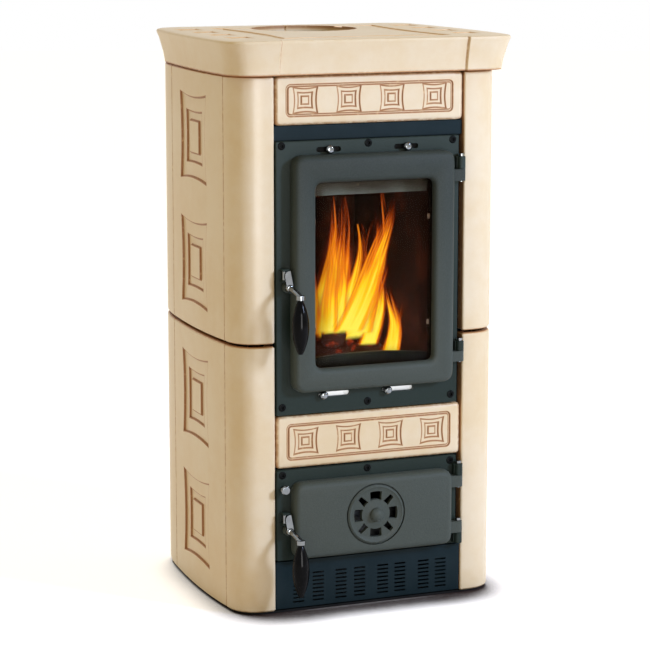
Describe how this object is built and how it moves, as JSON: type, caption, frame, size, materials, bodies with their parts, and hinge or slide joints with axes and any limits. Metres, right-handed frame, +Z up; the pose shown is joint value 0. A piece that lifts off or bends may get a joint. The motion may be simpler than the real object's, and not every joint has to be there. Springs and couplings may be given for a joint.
{
  "type": "tiled stove",
  "caption": "Free-standing wood stove with cream ceramic tile cladding, a glazed fire door over an ash door, and a flared ceramic top with a flue outlet.",
  "frame": {"origin": "middle of the base tray's underside, on the floor", "axes": "+Z up, the doors face -Y, +X to the viewer's right when facing the doors"},
  "size_m": [0.4856, 0.4625, 0.9],
  "materials": {
    "cream_glaze": "gloss",
    "cast_iron": "satin",
    "blue_black_paint": "satin",
    "chrome": "polished",
    "black_grip": "gloss",
    "zinc_plate": "satin",
    "black_steel": "satin",
    "fire_brick": "matte",
    "stove_glass": "gloss",
    "rope_seal": "matte",
    "charred_wood": "matte"
  },
  "bodies": {
    "stove": {"column_tile_left_lower": "cream_glaze", "side_tile_left_lower": "cream_glaze", "rear_tile_left_lower": "cream_glaze", "column_tile_right_lower": "cream_glaze", "side_tile_right_lower": "cream_glaze", "rear_tile_right_lower": "cream_glaze", "column_tile_left_upper": "cream_glaze", "side_tile_left_upper": "cream_glaze", "rear_tile_left_upper": "cream_glaze", "column_tile_right_upper": "cream_glaze", "side_tile_right_upper": "cream_glaze", "rear_tile_right_upper": "cream_glaze", "front_tile_upper": "cream_glaze", "front_tile_lower": "cream_glaze", "ceramic_top": "cream_glaze", "base_tray": "black_steel", "front_sheet": "blue_black_paint", "front_strip": "blue_black_paint", "louvre_panel": "blue_black_paint", "side_sheet_left": "black_steel", "side_sheet_right": "black_steel", "back_panel": "black_steel", "top_sheet": "black_steel", "firebox_shell": "black_steel", "flue_collar": "cast_iron", "ash_box": "black_steel", "ash_pan": "zinc_plate", "fire_brick_left": "fire_brick", "fire_brick_right": "fire_brick", "fire_brick_back": "fire_brick", "baffle_plate": "fire_brick", "air_deflector": "cast_iron", "log_guard": "cast_iron", "grate": "cast_iron", "fire_log_front": "charred_wood", "fire_log_rear": "charred_wood", "fire_log_top": "charred_wood", "fire_door_frame": "cast_iron", "ash_door_frame": "cast_iron", "fire_hinge_pin_upper": "chrome", "fire_hinge_pin_lower": "chrome", "ash_hinge_pin_upper": "chrome", "ash_hinge_pin_lower": "chrome", "fire_catch_roller": "chrome", "ash_catch_roller": "chrome"},
    "fire_door": {"fire_door_casting": "cast_iron", "fire_door_glass": "stove_glass", "fire_door_glass_retainer": "black_steel", "fire_door_rope": "rope_seal"},
    "fire_handle": {"fire_handle_lever": "chrome", "fire_handle_grip": "black_grip"},
    "ash_door": {"ash_door_casting": "cast_iron", "ash_door_rope": "rope_seal"},
    "ash_handle": {"ash_handle_lever": "chrome", "ash_handle_grip": "black_grip"},
    "air_register": {"air_disc": "cast_iron"},
    "upper_air": {"upper_air_slide": "zinc_plate"},
    "lower_air": {"lower_air_slide": "zinc_plate"},
    "riddling_gear": {"riddling_rod": "chrome", "riddling_plate": "cast_iron"}
  },
  "joints": [
    {"name": "fire_door_hinge", "type": "hinge", "parent": "stove", "child": "fire_door", "pos_m": [0.15, -0.198, 0.54], "axis": [0, 0, 1], "range_deg": [0, 110]},
    {"name": "fire_handle_pivot", "type": "hinge", "parent": "fire_door", "child": "fire_handle", "pos_m": [-0.142, -0.2, 0.521], "axis": [0, -1, 0], "range_deg": [0, 40]},
    {"name": "ash_door_hinge", "type": "hinge", "parent": "stove", "child": "ash_door", "pos_m": [0.15, -0.198, 0.15], "axis": [0, 0, 1], "range_deg": [0, 110]},
    {"name": "ash_handle_pivot", "type": "hinge", "parent": "ash_door", "child": "ash_handle", "pos_m": [-0.142, -0.2, 0.136], "axis": [0, -1, 0], "range_deg": [0, 40]},
    {"name": "air_register_turn", "type": "hinge", "parent": "ash_door", "child": "air_register", "pos_m": [0.001, -0.208, 0.152], "axis": [0, -1, 0], "range_deg": [0, 45]},
    {"name": "upper_air_travel", "type": "slide", "parent": "stove", "child": "upper_air", "axis": [1, 0, 0], "range_m": [-0.015, 0.015]},
    {"name": "lower_air_travel", "type": "slide", "parent": "stove", "child": "lower_air", "axis": [1, 0, 0], "range_m": [0, 0.038]},
    {"name": "riddling_pull", "type": "slide", "parent": "stove", "child": "riddling_gear", "axis": [0, -1, 0], "range_m": [0, 0.025]}
  ]
}
